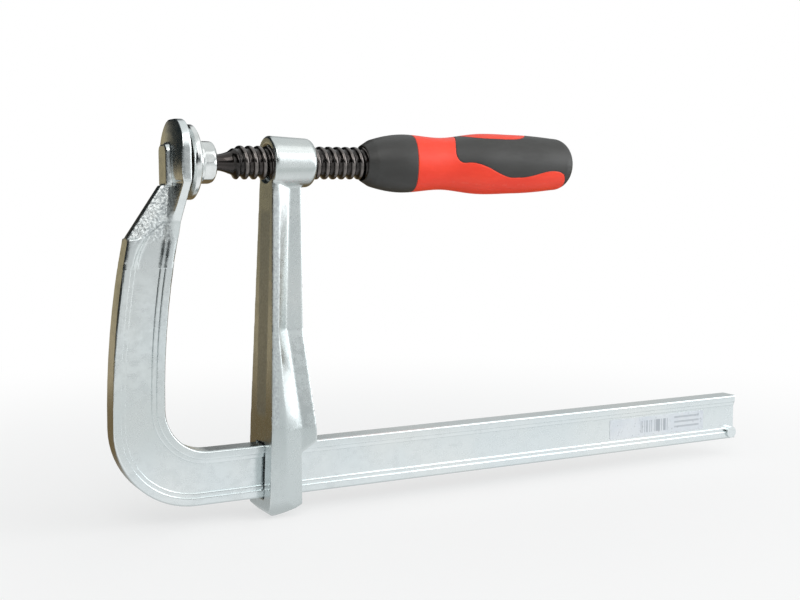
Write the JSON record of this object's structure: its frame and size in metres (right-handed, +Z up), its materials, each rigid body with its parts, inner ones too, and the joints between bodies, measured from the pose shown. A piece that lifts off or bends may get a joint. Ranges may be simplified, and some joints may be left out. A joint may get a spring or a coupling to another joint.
{
  "type": "f clamp",
  "caption": "All-steel F clamp: I-section rail bent up into a fixed jaw, forged sliding arm, screw with swivel pad and two-colour handle.",
  "frame": {"origin": "centre of the fixed jaw's clamping face, on the screw's axis", "axes": "+X along the rail from the fixed jaw to the rail's free end, +Z up along the arms, Y across the rail's thickness"},
  "size_m": [0.384, 0.036, 0.1963],
  "materials": {
    "zinc_plated_steel": "bright zinc plate over forged and rolled steel",
    "burnished_screw_steel": "dark oiled rolled thread",
    "bright_pad_steel": "bright plated turned steel",
    "spring_steel": "plain spring steel",
    "red_plastic": "satin moulded hard plastic",
    "black_grip": "soft moulded grip, fine matt texture",
    "label_film": "thin silvery film label"
  },
  "bodies": {
    "rail": {"rail_and_fixed_jaw": "zinc_plated_steel", "size_label": "label_film"},
    "arm": {"sliding_arm": "zinc_plated_steel"},
    "ball_joint": {"ball_retaining_ring": "spring_steel"},
    "screw": {"spindle": "burnished_screw_steel", "handle_core": "red_plastic", "handle_nose": "black_grip", "handle_grip": "black_grip"},
    "pad_pivot": {"thrust_washer": "spring_steel"},
    "pad": {"pressure_pad": "bright_pad_steel"}
  },
  "joints": [
    {"name": "arm_slide", "type": "slide", "parent": "rail", "child": "arm", "axis": [1, 0, 0], "range_m": [0, 0.284]},
    {"name": "screw_feed", "type": "slide", "parent": "arm", "child": "ball_joint", "axis": [1, 0, 0], "range_m": [0, 0.027]},
    {"name": "spindle_turn", "type": "hinge", "parent": "ball_joint", "child": "screw", "pos_m": [0.0092, 0, 0], "axis": [1, 0, 0], "range_deg": [0, 2040]},
    {"name": "pad_tilt", "type": "hinge", "parent": "ball_joint", "child": "pad_pivot", "pos_m": [0.0092, 0, 0], "axis": [0, 1, 0], "range_deg": [-3.5, 3.5]},
    {"name": "pad_swing", "type": "hinge", "parent": "pad_pivot", "child": "pad", "pos_m": [0.0092, 0, 0], "axis": [0, 0, 1], "range_deg": [-3.5, 3.5]}
  ],
  "couplings": [
    {"joint": "screw_feed", "follows": "spindle_turn", "m_per_rad": 0.00075599}
  ]
}
